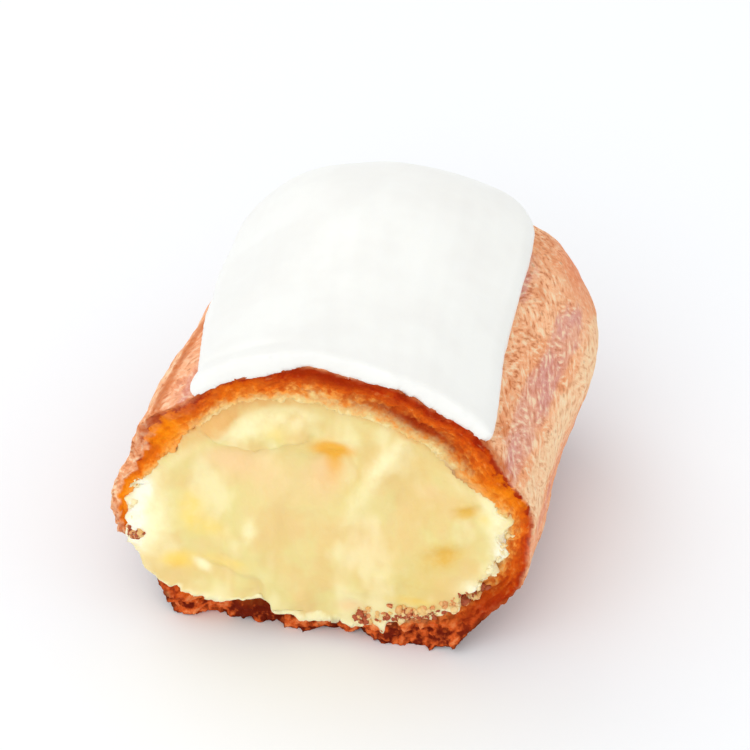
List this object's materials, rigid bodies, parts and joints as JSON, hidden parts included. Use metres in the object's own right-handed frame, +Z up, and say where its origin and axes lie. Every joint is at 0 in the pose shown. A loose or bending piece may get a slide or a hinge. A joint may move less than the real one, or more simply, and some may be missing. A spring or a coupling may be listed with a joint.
{
  "type": "vanilla eclair",
  "caption": "Cut end of a vanilla eclair: a baked choux shell with one rounded end, filled with vanilla cream that swells out of the cut, under a band of white icing.",
  "frame": {"origin": "centre of the bounding box in X and Y, on the surface the piece rests on", "axes": "+Z up, -Y out of the cut face, +Y towards the rounded end, +X to the right as seen when facing the cut"},
  "size_m": [0.0484, 0.0535, 0.0404],
  "materials": {
    "baked_choux": "matt baked choux crust, tan to red brown, with an orange crumb at the cut",
    "vanilla_cream": "soft, moist vanilla cream, pale yellow",
    "white_icing": "smooth white icing with a low satin sheen"
  },
  "bodies": {
    "root": {"choux_shell": "baked_choux", "vanilla_cream": "vanilla_cream", "white_icing": "white_icing"}
  },
  "joints": []
}
